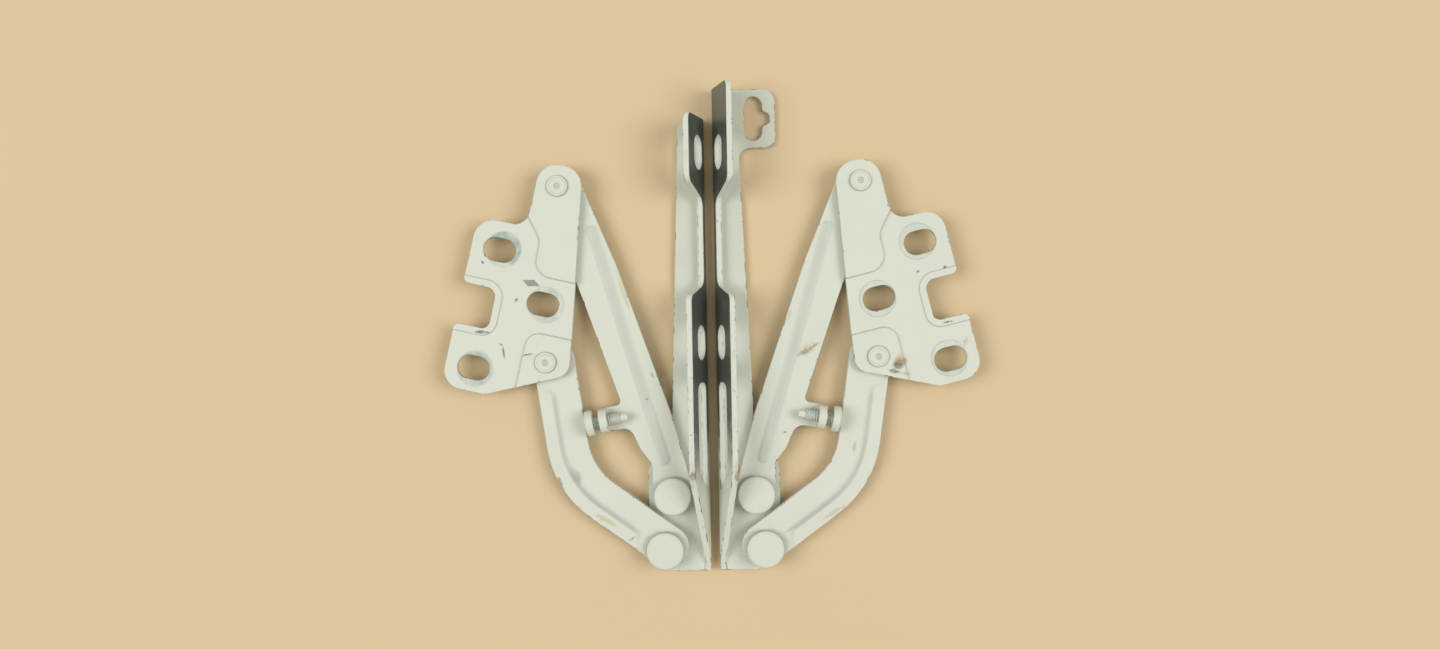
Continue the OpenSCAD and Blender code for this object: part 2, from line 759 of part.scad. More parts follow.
body_plate("left");  // left_body_plate
long_arm("left");  // left_long_arm
curved_arm("left");  // left_curved_arm
bonnet_bracket("left");  // left_bonnet_bracket
rivet_a("left");  // left_rivet_a
rivet_b("left");  // left_rivet_b
rivet_c("left");  // left_rivet_c
rivet_d("left");  // left_rivet_d
bush_a("left");  // left_bush_a
bush_b("left");  // left_bush_b
bush_c("left");  // left_bush_c
bush_d("left");  // left_bush_d
stop_bolt("left");  // left_stop_bolt
body_plate("right");  // right_body_plate
long_arm("right");  // right_long_arm
curved_arm("right");  // right_curved_arm
bonnet_bracket("right");  // right_bonnet_bracket
rivet_a("right");  // right_rivet_a
rivet_b("right");  // right_rivet_b
rivet_c("right");  // right_rivet_c
rivet_d("right");  // right_rivet_d
bush_a("right");  // right_bush_a
bush_b("right");  // right_bush_b
bush_c("right");  // right_bush_c
bush_d("right");  // right_bush_d
stop_bolt("right");  // right_stop_bolt
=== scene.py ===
# %% [markdown]
# # A handed pair of bonnet hinges
# Each hinge is a four-bar linkage of pressed steel: a slotted body plate, a straight arm, a curved arm
# and a folded bonnet bracket, held by four stepped rivets, with a screw that sets where the hinge stops.
# The solids come from the frame, already in place. This lesson gives them soft pressed edges, turned
# rivets, a threaded stop screw and worn paint.

# %% Load the frame
import json
import math
from collections import Counter

import bmesh
import bpy
import numpy
from mathutils import Matrix, Vector
from mathutils.bvhtree import BVHTree
from mathutils.geometry import delaunay_2d_cdt


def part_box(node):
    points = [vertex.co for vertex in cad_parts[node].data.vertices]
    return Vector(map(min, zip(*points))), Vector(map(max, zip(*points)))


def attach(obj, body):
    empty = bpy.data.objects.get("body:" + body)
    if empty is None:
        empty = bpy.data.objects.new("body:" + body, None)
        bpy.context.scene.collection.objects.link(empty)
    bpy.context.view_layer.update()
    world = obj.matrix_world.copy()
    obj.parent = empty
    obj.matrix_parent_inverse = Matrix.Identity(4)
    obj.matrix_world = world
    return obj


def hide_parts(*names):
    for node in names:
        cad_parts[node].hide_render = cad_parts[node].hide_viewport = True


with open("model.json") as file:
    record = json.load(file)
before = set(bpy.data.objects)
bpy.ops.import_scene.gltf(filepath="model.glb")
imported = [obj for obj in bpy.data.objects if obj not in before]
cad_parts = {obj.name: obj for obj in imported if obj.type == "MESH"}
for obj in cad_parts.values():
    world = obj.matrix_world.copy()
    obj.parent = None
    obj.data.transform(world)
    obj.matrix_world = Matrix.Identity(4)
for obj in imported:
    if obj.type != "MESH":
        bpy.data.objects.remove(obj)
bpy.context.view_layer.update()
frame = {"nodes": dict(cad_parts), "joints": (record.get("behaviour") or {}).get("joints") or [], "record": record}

MM = 0.001
SIDES = ("left", "right")
joints = {joint["name"]: joint for joint in frame["joints"]}
mounts = {mount["name"]: mount for mount in frame["record"]["mounts"]}

# %% [markdown]
# ## Camera
# The photo looks straight down from about half a metre, turned by one degree. A real lens at a real
# distance gives the same perspective: the backs of the two brackets show because they lean away from the
# middle of the view.

# %% Camera over the bench
EYE = Vector((4.36, 2.77, 536)) * MM
ROLL = math.radians(-1.074)
LENS_MM = 26.2
SENSOR_MM = 36
NEAREST = 10 * MM
camera_data = bpy.data.cameras.new("camera")
camera_data.lens = LENS_MM
camera_data.sensor_width = SENSOR_MM
camera_data.clip_start = NEAREST
camera = bpy.data.objects.new("camera", camera_data)
camera.location = EYE
camera.rotation_euler = (0, 0, ROLL)
bpy.context.scene.collection.objects.link(camera)
bpy.context.scene.camera = camera
print("camera at", tuple(round(v, 4) for v in EYE))

# %% [markdown]
# ## Wires: sums in node trees
# A finish is a sum of masks, and a turned shape is a sum of sizes. Adding Math nodes by hand hides the
# sum, so one small class wraps a socket and lets Python's own operators add the nodes. Every other node
# comes from Graph.add, which takes its type, its settings and what goes into its sockets.

# %% Wires and graphs
class Wire:
    """A socket that can stand in a sum."""

    def __init__(self, graph, socket):
        self.graph = graph
        self.socket = socket

    def other(self, name):
        return Wire(self.graph, self.socket.node.outputs[name])

    def __add__(self, value):
        return self.graph.maths("ADD", self, value)

    def __sub__(self, value):
        return self.graph.maths("SUBTRACT", self, value)

    def __rsub__(self, value):
        return self.graph.maths("SUBTRACT", value, self)

    def __mul__(self, value):
        return self.graph.maths("MULTIPLY", self, value)

    def __truediv__(self, value):
        return self.graph.maths("DIVIDE", self, value)

    def __mod__(self, value):
        return self.graph.maths("MODULO", self, value)

    def __pow__(self, value):
        return self.graph.maths("POWER", self, value)

    def __abs__(self):
        return self.graph.maths("ABSOLUTE", self)

    def clip(self):
        return self.graph.add("ShaderNodeClamp", inputs={"Value": self})

    def ramp(self, start, run):
        """0 at the start and 1 a run further on. A negative run goes the other way."""
        return ((self - start) / run).clip()

    __radd__ = __add__
    __rmul__ = __mul__


class Graph:
    """A node tree with one way to add a node."""

    def __init__(self, tree):
        self.tree = tree

    def feed(self, socket, value):
        if isinstance(value, Wire):
            self.tree.links.new(value.socket, socket)
        else:
            socket.default_value = value

    def add(self, kind, settings=None, inputs=None, out=0):
        node = self.tree.nodes.new(kind)
        for name, value in (settings or {}).items():
            if name == "choices":
                for _ in range(value - len(node.index_switch_items)):
                    node.index_switch_items.new()
            else:
                setattr(node, name, value)
        for name, value in (inputs or {}).items():
            self.feed(node.inputs[name], value)
        return Wire(self, node.outputs[out]) if node.outputs else None

    def maths(self, operation, *values):
        return self.add("ShaderNodeMath", {"operation": operation}, dict(enumerate(values)))


print("wires ready")

# %% [markdown]
# ## Worn paint
# The hinges are dipped in primer and then painted a pale grey-green with the car. Years of use left it
# mottled, with small dirt specks, chips along cut edges, and marks of its own on each piece. Every mark
# is placed on the object itself, in millimetres of the frame, so it stays on its piece when the hinge
# opens.

# %% Finishes built from masks
def srgb(red, green, blue):
    def linear(value):
        share = value / 255
        return share / 12.92 if share <= 0.04045 else ((share + 0.055) / 1.055) ** 2.4
    return (linear(red), linear(green), linear(blue), 1)


PAINT = srgb(217, 219, 203)
PAINT_SHADE = srgb(201, 205, 190)
PRIMER = srgb(58, 68, 60)
WASHER_TINT = srgb(152, 172, 166)
WASHER_LINE = srgb(138, 160, 154)
BARE_STEEL = srgb(128, 130, 126)
RUBBED = srgb(93, 98, 90)
WEB_SHADE = srgb(170, 174, 156)
RUST = srgb(96, 72, 48)
GRIME = srgb(74, 70, 60)
STAIN = srgb(186, 172, 132)
SHADE_GREY = srgb(150, 156, 147)
GROOVE_SHADE = srgb(128, 130, 120)
SEED_STEP = 7
NOISE_ROUGHNESS = 0.6
PATCH_NONE = 0.72
PATCH_SPAN = 0.44
SPECK_SOFT = 1 / 6
FINEST_WEAR = 0.9
SMEAR_EDGE = 2
WEAR_CONTRAST = 2.2
WEAR_COVER = 0.75
SCRAPE_EDGE = 5
BUMP_STRENGTH = 0.5


class Finish:
    """A material whose colour and roughness are built up from layers."""

    def __init__(self, name, colour, roughness):
        self.material = bpy.data.materials.new(name)
        self.material.use_nodes = True
        self.graph = Graph(self.material.node_tree)
        self.shader = self.material.node_tree.nodes["Principled BSDF"]
        place = self.graph.add("ShaderNodeTexCoord", out="Object")
        self.place = self.graph.add(
            "ShaderNodeVectorMath", {"operation": "SCALE"}, {0: place, "Scale": 1 / MM})
        self.x = self.graph.add("ShaderNodeSeparateXYZ", inputs={0: self.place})
        self.y = self.x.other("Y")
        self.z = self.x.other("Z")
        self.colour = colour
        self.roughness = roughness
        self.seed = 0

    def noise(self, size, detail=3, stretch=None):
        """Soft random values from 0 to 1, with patches of about the given size in millimetres."""
        self.seed += SEED_STEP
        place = self.place
        if stretch:
            place = self.graph.add("ShaderNodeMapping", inputs={"Vector": place, "Scale": stretch})
        return self.graph.add(
            "ShaderNodeTexNoise", {"noise_dimensions": "4D"},
            {"Vector": place, "W": self.seed, "Scale": 1 / size, "Detail": detail,
             "Roughness": NOISE_ROUGHNESS})

    def uneven(self, size, least, spread, stretch=None):
        """A value that wanders between the least one and that plus the spread."""
        return least + self.noise(size, stretch=stretch) * spread

    def patches(self, size, cover, soft=0.06):
        """Ragged patches that cover about that share of the surface."""
        return self.noise(size).ramp(PATCH_NONE - PATCH_SPAN * cover, soft)

    def specks(self, spacing, radius, share):
        """Round dots, one at most in each cell, in that share of the cells."""
        cells = self.graph.add("ShaderNodeTexVoronoi", {"feature": "F1"},
                               {"Vector": self.place, "Scale": 1 / spacing, "Randomness": 1}, out="Distance")
        chance = self.graph.add("ShaderNodeSeparateColor", inputs={0: cells.other("Color")})
        return cells.ramp(radius / spacing, -SPECK_SOFT) * self.graph.maths("LESS_THAN", chance, share)

    def smear(self, x, y, length, width, turn=0, ragged=1.2):
        """A ragged mark of that length and width at a place, turned in the plane."""
        angle = math.radians(turn)
        along = ((self.x - x) * math.cos(angle) + (self.y - y) * math.sin(angle)) * (2 / length)
        across = ((self.y - y) * math.cos(angle) - (self.x - x) * math.sin(angle)) * (2 / width)
        reach = (along * along + across * across) ** 0.5
        worn = self.noise(max(width / 2, FINEST_WEAR), detail=4) - 0.5
        rubbed_off = (worn * WEAR_CONTRAST + WEAR_COVER).clip()
        return ((1 - reach + worn * ragged) * SMEAR_EDGE).clip() * rubbed_off

    def scrape(self, x, y, length, width, skew):
        """A clean mark with straight, slanted ends, as a tool leaves it."""
        across = (self.y - y) * (2 / width)
        along = (self.x - x - (self.y - y) * skew) * (2 / length)
        reach = self.graph.maths("MAXIMUM", abs(along), abs(across))
        return ((1 - reach + self.uneven(size=2, least=-0.15, spread=0.3)) * SCRAPE_EDGE).clip()

    def stroke(self, start, end, width):
        """A soft straight band from one place to another, strongest along its middle."""
        run_x, run_y = end[0] - start[0], end[1] - start[1]
        length = math.hypot(run_x, run_y)
        share = (((self.x - start[0]) * run_x + (self.y - start[1]) * run_y) / length ** 2).clip()
        aside = (self.x - start[0] - share * run_x) ** 2 + (self.y - start[1] - share * run_y) ** 2
        return (1 - aside / (width / 2) ** 2).clip()

    def reach(self, x, y):
        """The distance from a place, seen from above."""
        return ((self.x - x) ** 2 + (self.y - y) ** 2) ** 0.5

    def ring(self, x, y, radius, fade):
        """A thin ring round a place, which fades by that much a millimetre on both sides."""
        return (1 - abs(self.reach(x, y) - radius) * fade).clip()

    def layer(self, mask, colour, roughness=None, strength=1):
        """Lays a colour, and a roughness if it differs, over what is there."""
        mask = mask * strength
        self.colour = self.graph.add("ShaderNodeMix", {"data_type": "RGBA"},
                                     {0: mask, 6: self.colour, 7: colour}, out=2)
        if roughness is not None:
            self.roughness = self.roughness + mask * (roughness - self.roughness)

    def close(self, bump_size, bump_height):
        """Feeds the layers into the shader, with a fine bump."""
        height = self.noise(bump_size, detail=2)
        bump = self.graph.add("ShaderNodeBump", inputs={
            "Strength": BUMP_STRENGTH, "Distance": bump_height * MM, "Height": height})
        self.graph.feed(self.shader.inputs["Base Color"], self.colour)
        self.graph.feed(self.shader.inputs["Roughness"], self.roughness)
        self.graph.feed(self.shader.inputs["Normal"], bump)
        return self.material


print("paint", tuple(round(v, 3) for v in PAINT[:3]))

# %% [markdown]
# A base coat is shared by all painted pieces: two scales of mottle, faint handling dirt, specks, painted shade
# along pressed steps, and chips where a bevel marks a cut edge. Faces along cut edges carry the attribute "rim"
# and corners along pressed steps carry "crease", so chips and the painted shade of a step know where they belong.

# %% Base coat
PAINT_ROUGH = 0.42
# Near a strip's round ends the painted shade of its crease starts this far from a pivot, full a run further on
FADE_FROM = 13
FADE_RUN = 7


def base_coat(name, chips=0.25, step_shade=0.4, fade_round=()):
    finish = Finish(name, PAINT, PAINT_ROUGH)
    finish.roughness = finish.uneven(size=9, least=PAINT_ROUGH, spread=0.12)
    finish.layer(finish.noise(size=38), PAINT_SHADE, strength=0.5)
    finish.layer(finish.noise(size=5, stretch=(1, 0.35, 1)), PAINT_SHADE, strength=0.3)
    finish.layer(finish.patches(size=13, cover=0.2, soft=0.3), STAIN, strength=0.16)
    finish.layer(finish.specks(spacing=7, radius=0.34, share=0.16), GRIME, roughness=0.7, strength=0.65)
    rim, crease = (finish.graph.add("ShaderNodeAttribute", {"attribute_name": mark}, out="Fac")
                   for mark in ("rim", "crease"))
    for x, y in fade_round:
        crease = crease * finish.reach(x, y).ramp(FADE_FROM, FADE_RUN)
    # Painted shade in pressed steps, strongest a third of the way up each ramp
    finish.layer(crease * finish.uneven(size=16, least=0.6, spread=0.8), SHADE_GREY, strength=step_shade)
    finish.layer(rim * finish.patches(size=4, cover=chips), RUST, roughness=0.75, strength=0.75)
    return finish


rivet_paint = base_coat("rivet_paint", chips=0.2)
print("base coat on", rivet_paint.material.name)

# %% [markdown]
# ## Marks on the body plates
# Bolts with wide washers held the plates, and where the washers sat the paint is worn to a bluish green
# around each slot. A few scrapes and chips are at places of their own on each side.

# %% Plate paint
WASHER_R = 9.1
WASHER_SOFT = 0.5
TAIL_RING_R = 5.35
# How far right of and above its slot's middle each washer sat, and how strong its tint and its outline are
WASHERS = {
    "left_body_slot_upper": (2.0, 0.2, 0.95, 0.3),
    "left_body_slot_middle": (1.6, -0.4, 0.5, 0.4),
    "left_body_slot_lower": (0.8, -0.6, 0.8, 0.3),
    "right_body_slot_upper": (-1.6, 0.5, 0.25, 0.8),
    "right_body_slot_middle": (-0.8, -0.3, 0.2, 0.8),
    "right_body_slot_lower": (-0.5, 0.3, 0.35, 0.7),
}
# The place of each scrape, its length, width and skew
SCRAPES = {"left": (-89.9, 25.3, 6.5, 3.6, -0.9), "right": (104.0, 27.5, 1.6, 1.2, 0.3)}
# The place of each mark, its length, width, turn in degrees and colour
PLATE_MARKS = {
    "left": [
        (-97.4, 16.9, 2.6, 2.0, 30, GRIME),
        (-104.3, -9.4, 1.3, 8.5, 8, GRIME),
        (-105.5, -5.2, 2.4, 1.2, -35, GRIME),
        (-114.7, 1.2, 9.0, 2.0, -6, GRIME),
        (-114.0, 36.2, 2.4, 1.2, -50, GRIME),
        (-92.0, -10.5, 7.0, 1.0, 8, GRIME),
    ],
    "right": [
        (93.6, -17.5, 10.0, 8.0, 40, STAIN),
        (94.0, -18.6, 8.5, 5.5, 40, RUST),
        (91.0, -22.2, 7.0, 2.2, -12, GRIME),
        (96.6, -23.5, 7.0, 2.0, -12, STAIN),
        (117.4, 29.4, 3.0, 1.4, 20, GRIME),
        (118.5, 2.0, 7.0, 1.2, 10, GRIME),
        (127.5, -8.0, 3.0, 6.0, -15, STAIN),
    ],
}


def pivot(node):
    """The place of a rivet on the bench, from its solid, in millimetres."""
    low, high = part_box(node)
    return ((low.x + high.x) / 2 / MM, (low.y + high.y) / 2 / MM)


def plate_paint(side):
    finish = base_coat(side + "_plate_paint", chips=0.3, step_shade=0.3)
    for name, (right, up, tint, line) in WASHERS.items():
        if name.startswith(side):
            middle = Vector(mounts[name]["pos_m"]) / MM
            x, y = middle.x + right, middle.y + up
            pressed_by_washer = finish.reach(x, y).ramp(WASHER_R, -WASHER_SOFT)
            rubbed = finish.uneven(size=7, least=-1.5, spread=4.5, stretch=(1, 0.6, 1)).clip()
            finish.layer(pressed_by_washer * rubbed, WASHER_TINT, roughness=0.5, strength=tint)
            outline = finish.ring(x, y, WASHER_R, fade=2.6)
            broken = finish.uneven(size=6, least=-0.4, spread=2.4).clip()
            finish.layer(outline * broken, WASHER_LINE, strength=line)
    # A thin ring of painted shade lies where each rivet's tail meets the plate
    for rivet in "ac":
        ring = finish.ring(*pivot(side + "_rivet_" + rivet), TAIL_RING_R, fade=2.8)
        finish.layer(ring * finish.uneven(size=4, least=0.35, spread=0.4), GROOVE_SHADE)
    finish.layer(finish.scrape(*SCRAPES[side]), BARE_STEEL, roughness=0.5, strength=0.85)
    for x, y, length, width, turn, colour in PLATE_MARKS[side]:
        finish.layer(finish.smear(x, y, length, width, turn), colour, roughness=0.6, strength=0.85)
    return finish.close(bump_size=0.8, bump_height=0.05)


plate_paints = {side: plate_paint(side) for side in SIDES}
print("plate marks:", {side: len(marks) for side, marks in PLATE_MARKS.items()})

# %% [markdown]
# ## Paint of the arms and brackets
# The arms have a stain, edge chips, and painted shade along the long arm's bead and the curved arm's step.
# On the brackets the paint gun never reached the faces that bolt to the bonnet, so these still show the dark
# primer, rubbed to bare metal at the top of the right one. The faces are found by their distance from the
# plane of the flange's back.

# %% Arm paint
# The place of each mark, its length, width, turn in degrees and colour
ARM_MARKS = {
    "left_long": [(-33.0, -34.0, 2.4, 1.4, 0, GRIME), (-30.2, -22.0, 1.4, 3.6, 20, GRIME),
                  (-44.0, 20.0, 3.0, 26.0, 18, STAIN)],
    # The left curved arm's grey mark at (-70, -72) takes the painted shade grey of the steps
    "left_curved": [(-77.7, -75.6, 2.4, 7.0, 20, RUST), (-55.0, -95.0, 16.0, 3.4, -30, STAIN),
                    (-70.0, -72.0, 5.0, 12.0, 25, SHADE_GREY), (-42.0, -104.5, 5.0, 1.4, 25, GRIME)],
    "right_long": [(47.4, -10.9, 12.0, 6.5, 28, STAIN), (47.0, -11.6, 10.0, 3.0, 24, RUST),
                   (52.0, -8.6, 6.0, 1.8, 30, RUST), (36.0, -52.0, 2.4, 1.2, 0, GRIME),
                   (39.0, 6.0, 2.0, 9.0, -18, STAIN)],
    "right_curved": [(71.0, -60.0, 2.0, 8.0, -10, STAIN), (60.0, -93.0, 18.0, 2.6, 32, STAIN),
                     (38.0, -101.0, 8.0, 2.0, 32, STAIN)],
}
# How strongly the pressed step of each kind of arm is painted in shade
ARM_STEP_SHADE = {"long": 0.12, "curved": 0.55}
WAY = {"left": -1, "right": 1}
BEAD_ENDS = ((59.4, 51.3), (24.8, -64.7))
BEAD_WIDTH = 6


def arm_paint(side, kind):
    strip_ends = [pivot(side + "_rivet_" + rivet) for rivet in "cd"] if kind == "curved" else []
    name = side + "_" + kind + "_paint"
    finish = base_coat(name, chips=0.3, step_shade=ARM_STEP_SHADE[kind], fade_round=strip_ends)
    if kind == "long":
        start, end = [(x * WAY[side], y) for x, y in BEAD_ENDS]
        # A soft band of painted shade, strongest along its middle, lies on the long arm's bead
        bead = finish.stroke(start, end, BEAD_WIDTH)
        finish.layer(bead * finish.uneven(size=24, least=0.05, spread=0.45), SHADE_GREY)
    for x, y, length, width, turn, colour in ARM_MARKS[side + "_" + kind]:
        finish.layer(finish.smear(x, y, length, width, turn), colour, roughness=0.6, strength=0.6)
    return finish.close(bump_size=0.8, bump_height=0.05)


arm_paints = {(side, kind): arm_paint(side, kind) for side in SIDES for kind in ARM_STEP_SHADE}
print("arm marks:", {arm: len(marks) for arm, marks in ARM_MARKS.items()})

# %% Bracket paint
# The plane of the flange's back: its lean, and how far from the middle it meets the bench
FLANGE_LEAN = math.radians(18)
FLANGE_FOOT = 0.51
# The back is what lies this close to that plane, and higher than the web
BACK_DEPTH = 0.45
BACK_SOFT = 0.125
FOOT_TOP = 3.2
FOOT_SOFT = 2
# Where along the flange the primer starts to show, and how far it takes to show in full
PRIMER_FROM = {"left": -80, "right": -74}
PRIMER_RUN = 32
# The left bracket ends far below its value, so only the right one is rubbed
RUBBED_FROM = {"left": 200, "right": 101}
RUBBED_RUN = 3
# The web is what lies below this level, and it is shaded more and more along its length
WEB_LEVEL = 3.6
WEB_SOFT = 0.5
WEB_SHADE_FROM = 8
WEB_SHADE_RUN = 28
WEB_SHADE_LEAST = 0.2
# The flange's upper edge faces up and lies higher than the web
EDGE_FACING = 0.7
EDGE_SOFT = 1 / 6
EDGE_LEVEL = 5
EDGE_RUN = 2
EDGE_RUST = {"left": (-10.3, -71.1), "right": (11.4, -71.0)}


def bracket_paint(side):
    finish = base_coat(side + "_bracket_paint", chips=0.45)
    depth = (abs(finish.x) - FLANGE_FOOT) * math.cos(FLANGE_LEAN) - finish.z * math.sin(FLANGE_LEAN)
    on_back = depth.ramp(BACK_DEPTH, -BACK_SOFT) * finish.z.ramp(FOOT_TOP, FOOT_SOFT)
    ragged = finish.y + finish.uneven(size=9, least=-15, spread=30)
    finish.layer(on_back * ragged.ramp(PRIMER_FROM[side], PRIMER_RUN), PRIMER, 0.38, strength=0.94)
    finish.layer(on_back * finish.patches(size=11, cover=0.35, soft=0.2), BARE_STEEL, 0.45, strength=0.3)
    ragged = finish.y + finish.uneven(size=6, least=-4, spread=8, stretch=(1, 0.3, 1))
    finish.layer(on_back * ragged.ramp(RUBBED_FROM[side], RUBBED_RUN), RUBBED, 0.34)
    on_web = finish.z.ramp(WEB_LEVEL, -WEB_SOFT)
    up_the_web = finish.y.ramp(WEB_SHADE_FROM, WEB_SHADE_RUN) * (1 - WEB_SHADE_LEAST) + WEB_SHADE_LEAST
    finish.layer(on_web * up_the_web * finish.uneven(size=30, least=0.05, spread=0.45), WEB_SHADE)
    facing = finish.graph.add("ShaderNodeNewGeometry", out="Normal")
    upward = finish.graph.add("ShaderNodeSeparateXYZ", inputs={0: facing}, out="Z")
    flange_edge = upward.ramp(EDGE_FACING, EDGE_SOFT) * finish.z.ramp(EDGE_LEVEL, EDGE_RUN)
    finish.layer(flange_edge * finish.patches(size=2.4, cover=0.22, soft=0.1), GRIME, 0.7, strength=0.6)
    finish.layer(flange_edge * finish.patches(size=9, cover=0.3, soft=0.3), STAIN, 0.7, strength=0.3)
    rust_place = EDGE_RUST[side]
    finish.layer(finish.smear(*rust_place, length=3.4, width=6.5), RUST, roughness=0.8, strength=0.9)
    finish.layer(finish.smear(*rust_place, length=3.4, width=22), STAIN, roughness=0.8, strength=0.5)
    return finish.close(bump_size=0.8, bump_height=0.05)


bracket_paints = {side: bracket_paint(side) for side in SIDES}
print("bracket paints:", [material.name for material in bracket_paints.values()])

# %% [markdown]
# ## Pressed pieces
# A press rounds the edges of sheet steel on one side and leaves the steps of its pads as soft ramps. The
# solids have these steps with square walls. A copy is welded and its flat faces are joined. Each low wall
# is leaned over a run, short on the plates and long on the curved arms, cut into strips and bent into an
# S. The outer edges get a narrow Bevel. Sculpting or a subdivided cage would need every ramp by hand.

# %% Find the steps and the outer edges
RIM = 0.4 * MM
SHARP = math.radians(28)
# A wall that is no higher than this is a pressed step
STEP_WALL = 1.7 * MM
# How far a face's normal may point up and still be a wall, and how far it has to for level ground
UPRIGHT = 0.2
LEVEL = 0.8


def is_upright(face):
    return abs(face.normal.z) < UPRIGHT


def find_steps(work):
    """The low walls of pressed steps, each with its height: the sheet goes on level on both sides of them."""
    tree = BVHTree.FromBMesh(work)
    steps = {}
    for face in work.faces:
        heights = [corner.co.z for corner in face.verts]
        rise = max(heights) - min(heights)
        around = [other for edge in face.edges for other in edge.link_faces]
        beside = [other.normal.z for other in around if not is_upright(other)]
        level = len(beside) == 2 and (min(beside) > LEVEL or max(beside) < -LEVEL)
        ahead = face.calc_center_median() + face.normal * RIM
        goes_on = any(tree.ray_cast(ahead, (0, 0, way), rise)[0] for way in (-1, 1))
        if is_upright(face) and rise < STEP_WALL and level and goes_on:
            steps[face] = rise
    return steps


def mark_rims(work, steps, rim):
    """Marks the sharp edges along the sheet's outline and holes, and leaves out the level edges of steps."""
    for edge in work.edges:
        if edge.is_convex and edge.calc_face_angle(0) > SHARP:
            on_step = any(face in steps for face in edge.link_faces)
            edge[rim] = 0 if on_step and not all(is_upright(face) for face in edge.link_faces) else 1


print("steps up to", STEP_WALL / MM, "mm, rims of", RIM / MM, "mm")

# %% Lean and bend the steps
RAMPS = {"body_plate": 0.9 * MM, "long_arm": 2.6 * MM, "curved_arm": 4.4 * MM, "bonnet_bracket": 0.9 * MM}
NEARLY_PARALLEL = 0.05
STEP_CUTS = 5
# Brings the highest value of part * (1 - part) ** 2 to 1
CREASE_GAIN = 27 / 4
# How far from a step's end a corner is set, on edges that are longer than this
STEP_END = 1 * MM
LONG_EDGE = 4 * MM


def lean_steps(work, steps, ramp, share, rise):
    """Moves the upper edge of each low wall along the sheet, and keeps it on the sheet's outline."""
    for face, height in steps.items():
        middle = face.calc_center_median().z
        for corner in face.verts:
            corner[share] = float(corner.co.z > middle)
            corner[rise] = height
    moves = {}
    for corner in work.verts:
        if corner[share] == 1:
            walls = [face for face in corner.link_faces if is_upright(face)]
            on_top = any(face.normal.z > LEVEL for face in corner.link_faces)
            wanted = [(-ramp if on_top else ramp) if face in steps else 0 for face in walls]
            normals = [face.normal[:2] for face in walls]
            moves[corner] = numpy.linalg.lstsq(normals, wanted, rcond=NEARLY_PARALLEL)[0]
    for corner, (x, y) in moves.items():
        corner.co.x += x
        corner.co.y += y


def bend_steps(work, steps, share, rise, crease):
    """Cuts the leaned walls into strips and bends them into an S."""
    sides = dict.fromkeys(edge for face in steps for edge in face.edges)
    slanted = [edge for edge in sides if edge.verts[0][share] != edge.verts[1][share]]
    bmesh.ops.subdivide_edges(work, edges=slanted, cuts=STEP_CUTS)
    for corner in work.verts:
        part = corner[share]
        corner.co.z += corner[rise] * (part * part * (3 - 2 * part) - part)
        corner[crease] = CREASE_GAIN * part * (1 - part) ** 2


def end_steps(work, rim, rise):
    """Sets a corner on the outline close to both sides of a step's end, where its shading then stops."""
    for edge in list(work.edges):
        for corner in [end for end in edge.verts if end[rise] > 0]:
            length = edge.calc_length()
            if edge[rim] and length > LONG_EDGE:
                bmesh.utils.edge_split(edge, corner, STEP_END / length)


print("ramps in mm:", {kind: round(run / MM, 1) for kind, run in RAMPS.items()})

# %% [markdown]
# A big flat face runs round its holes and is closed by slits. A bevel can fold it there, and then parts of
# it turn black. So each flat part is filled anew, by triangles that keep to its outline and its holes. The
# triangulation covers the whole hull, and a triangle is kept where its middle lies inside the outline.
# Normals weighted by size then keep the flat parts flat up to their rims.

# %% Fill the flat parts
FLAT, CUT = range(2)
WELD = 0.002 * MM
SAME_PLANE = math.radians(2)
SMOOTH_TO = math.cos(math.radians(70))
# The kind of triangulation that covers the hull
ALL_TRIANGLES = 0
# Faces with more corners than these can be folded
PLAIN_CORNERS = 4


def flat_parts(work):
    """Groups of faces that lie side by side in one plane, without the rims."""
    left = dict.fromkeys(face for face in work.faces if face.material_index == FLAT)
    while left:
        part = []
        front = [left.popitem()[0]]
        while front:
            part.append(front.pop())
            for edge in part[-1].edges:
                if edge.calc_face_angle(math.pi) < SAME_PLANE:
                    beside = [face for face in edge.link_faces if face in left]
                    front.extend(beside)
                    for face in beside:
                        del left[face]
        yield part


def within(point, lines):
    """Whether a point lies inside an outline with holes: a ray from it crosses an odd number of lines."""
    x, y = point
    crossed = lines[(lines[:, 0, 1] > y) != (lines[:, 1, 1] > y)]
    start = crossed[:, 0]
    run = crossed[:, 1] - start
    at = start[:, 0] + (y - start[:, 1]) * run[:, 0] / run[:, 1]
    return numpy.count_nonzero(at > x) % 2 == 1


def fill_part(work, part):
    """New triangles between a flat part's outline and holes, which a bevel can have folded over a slit."""
    facing = max(part, key=lambda face: face.calc_area()).normal.copy()
    uses = Counter(edge for face in part for edge in face.edges)
    outline = [edge for edge, count in uses.items() if count == 1]
    slits = [edge for edge, count in uses.items() if count == 2]
    bmesh.ops.delete(work, geom=part, context="FACES_ONLY")
    bmesh.ops.delete(work, geom=slits, context="EDGES")
    corners = list(dict.fromkeys(vert for edge in outline for vert in edge.verts))
    place = {vert: index for index, vert in enumerate(corners)}
    upright = facing.to_track_quat("Z", "Y")
    level = [upright.inverted() @ vert.co for vert in corners]
    pairs = [[place[vert] for vert in edge.verts] for edge in outline]
    lines = numpy.array([[level[end][:2] for end in pair] for pair in pairs])
    points = [spot.to_2d() for spot in level]
    spots, _, triangles, sources, _, _ = delaunay_2d_cdt(points, pairs, [], ALL_TRIANGLES, WELD)
    verts = []
    for spot, source in zip(spots, sources):
        crossing = upright @ Vector((*spot, level[0].z))
        verts.append(corners[source[0]] if source else work.verts.new(crossing))
    faces = []
    for triangle in triangles:
        middle = numpy.mean([spots[corner] for corner in triangle], axis=0)
        ends = [verts[corner] for corner in triangle]
        if within(middle, lines) and not work.faces.get(ends):
            faces.append(work.faces.new(ends))
            faces[-1].smooth = True
    return faces


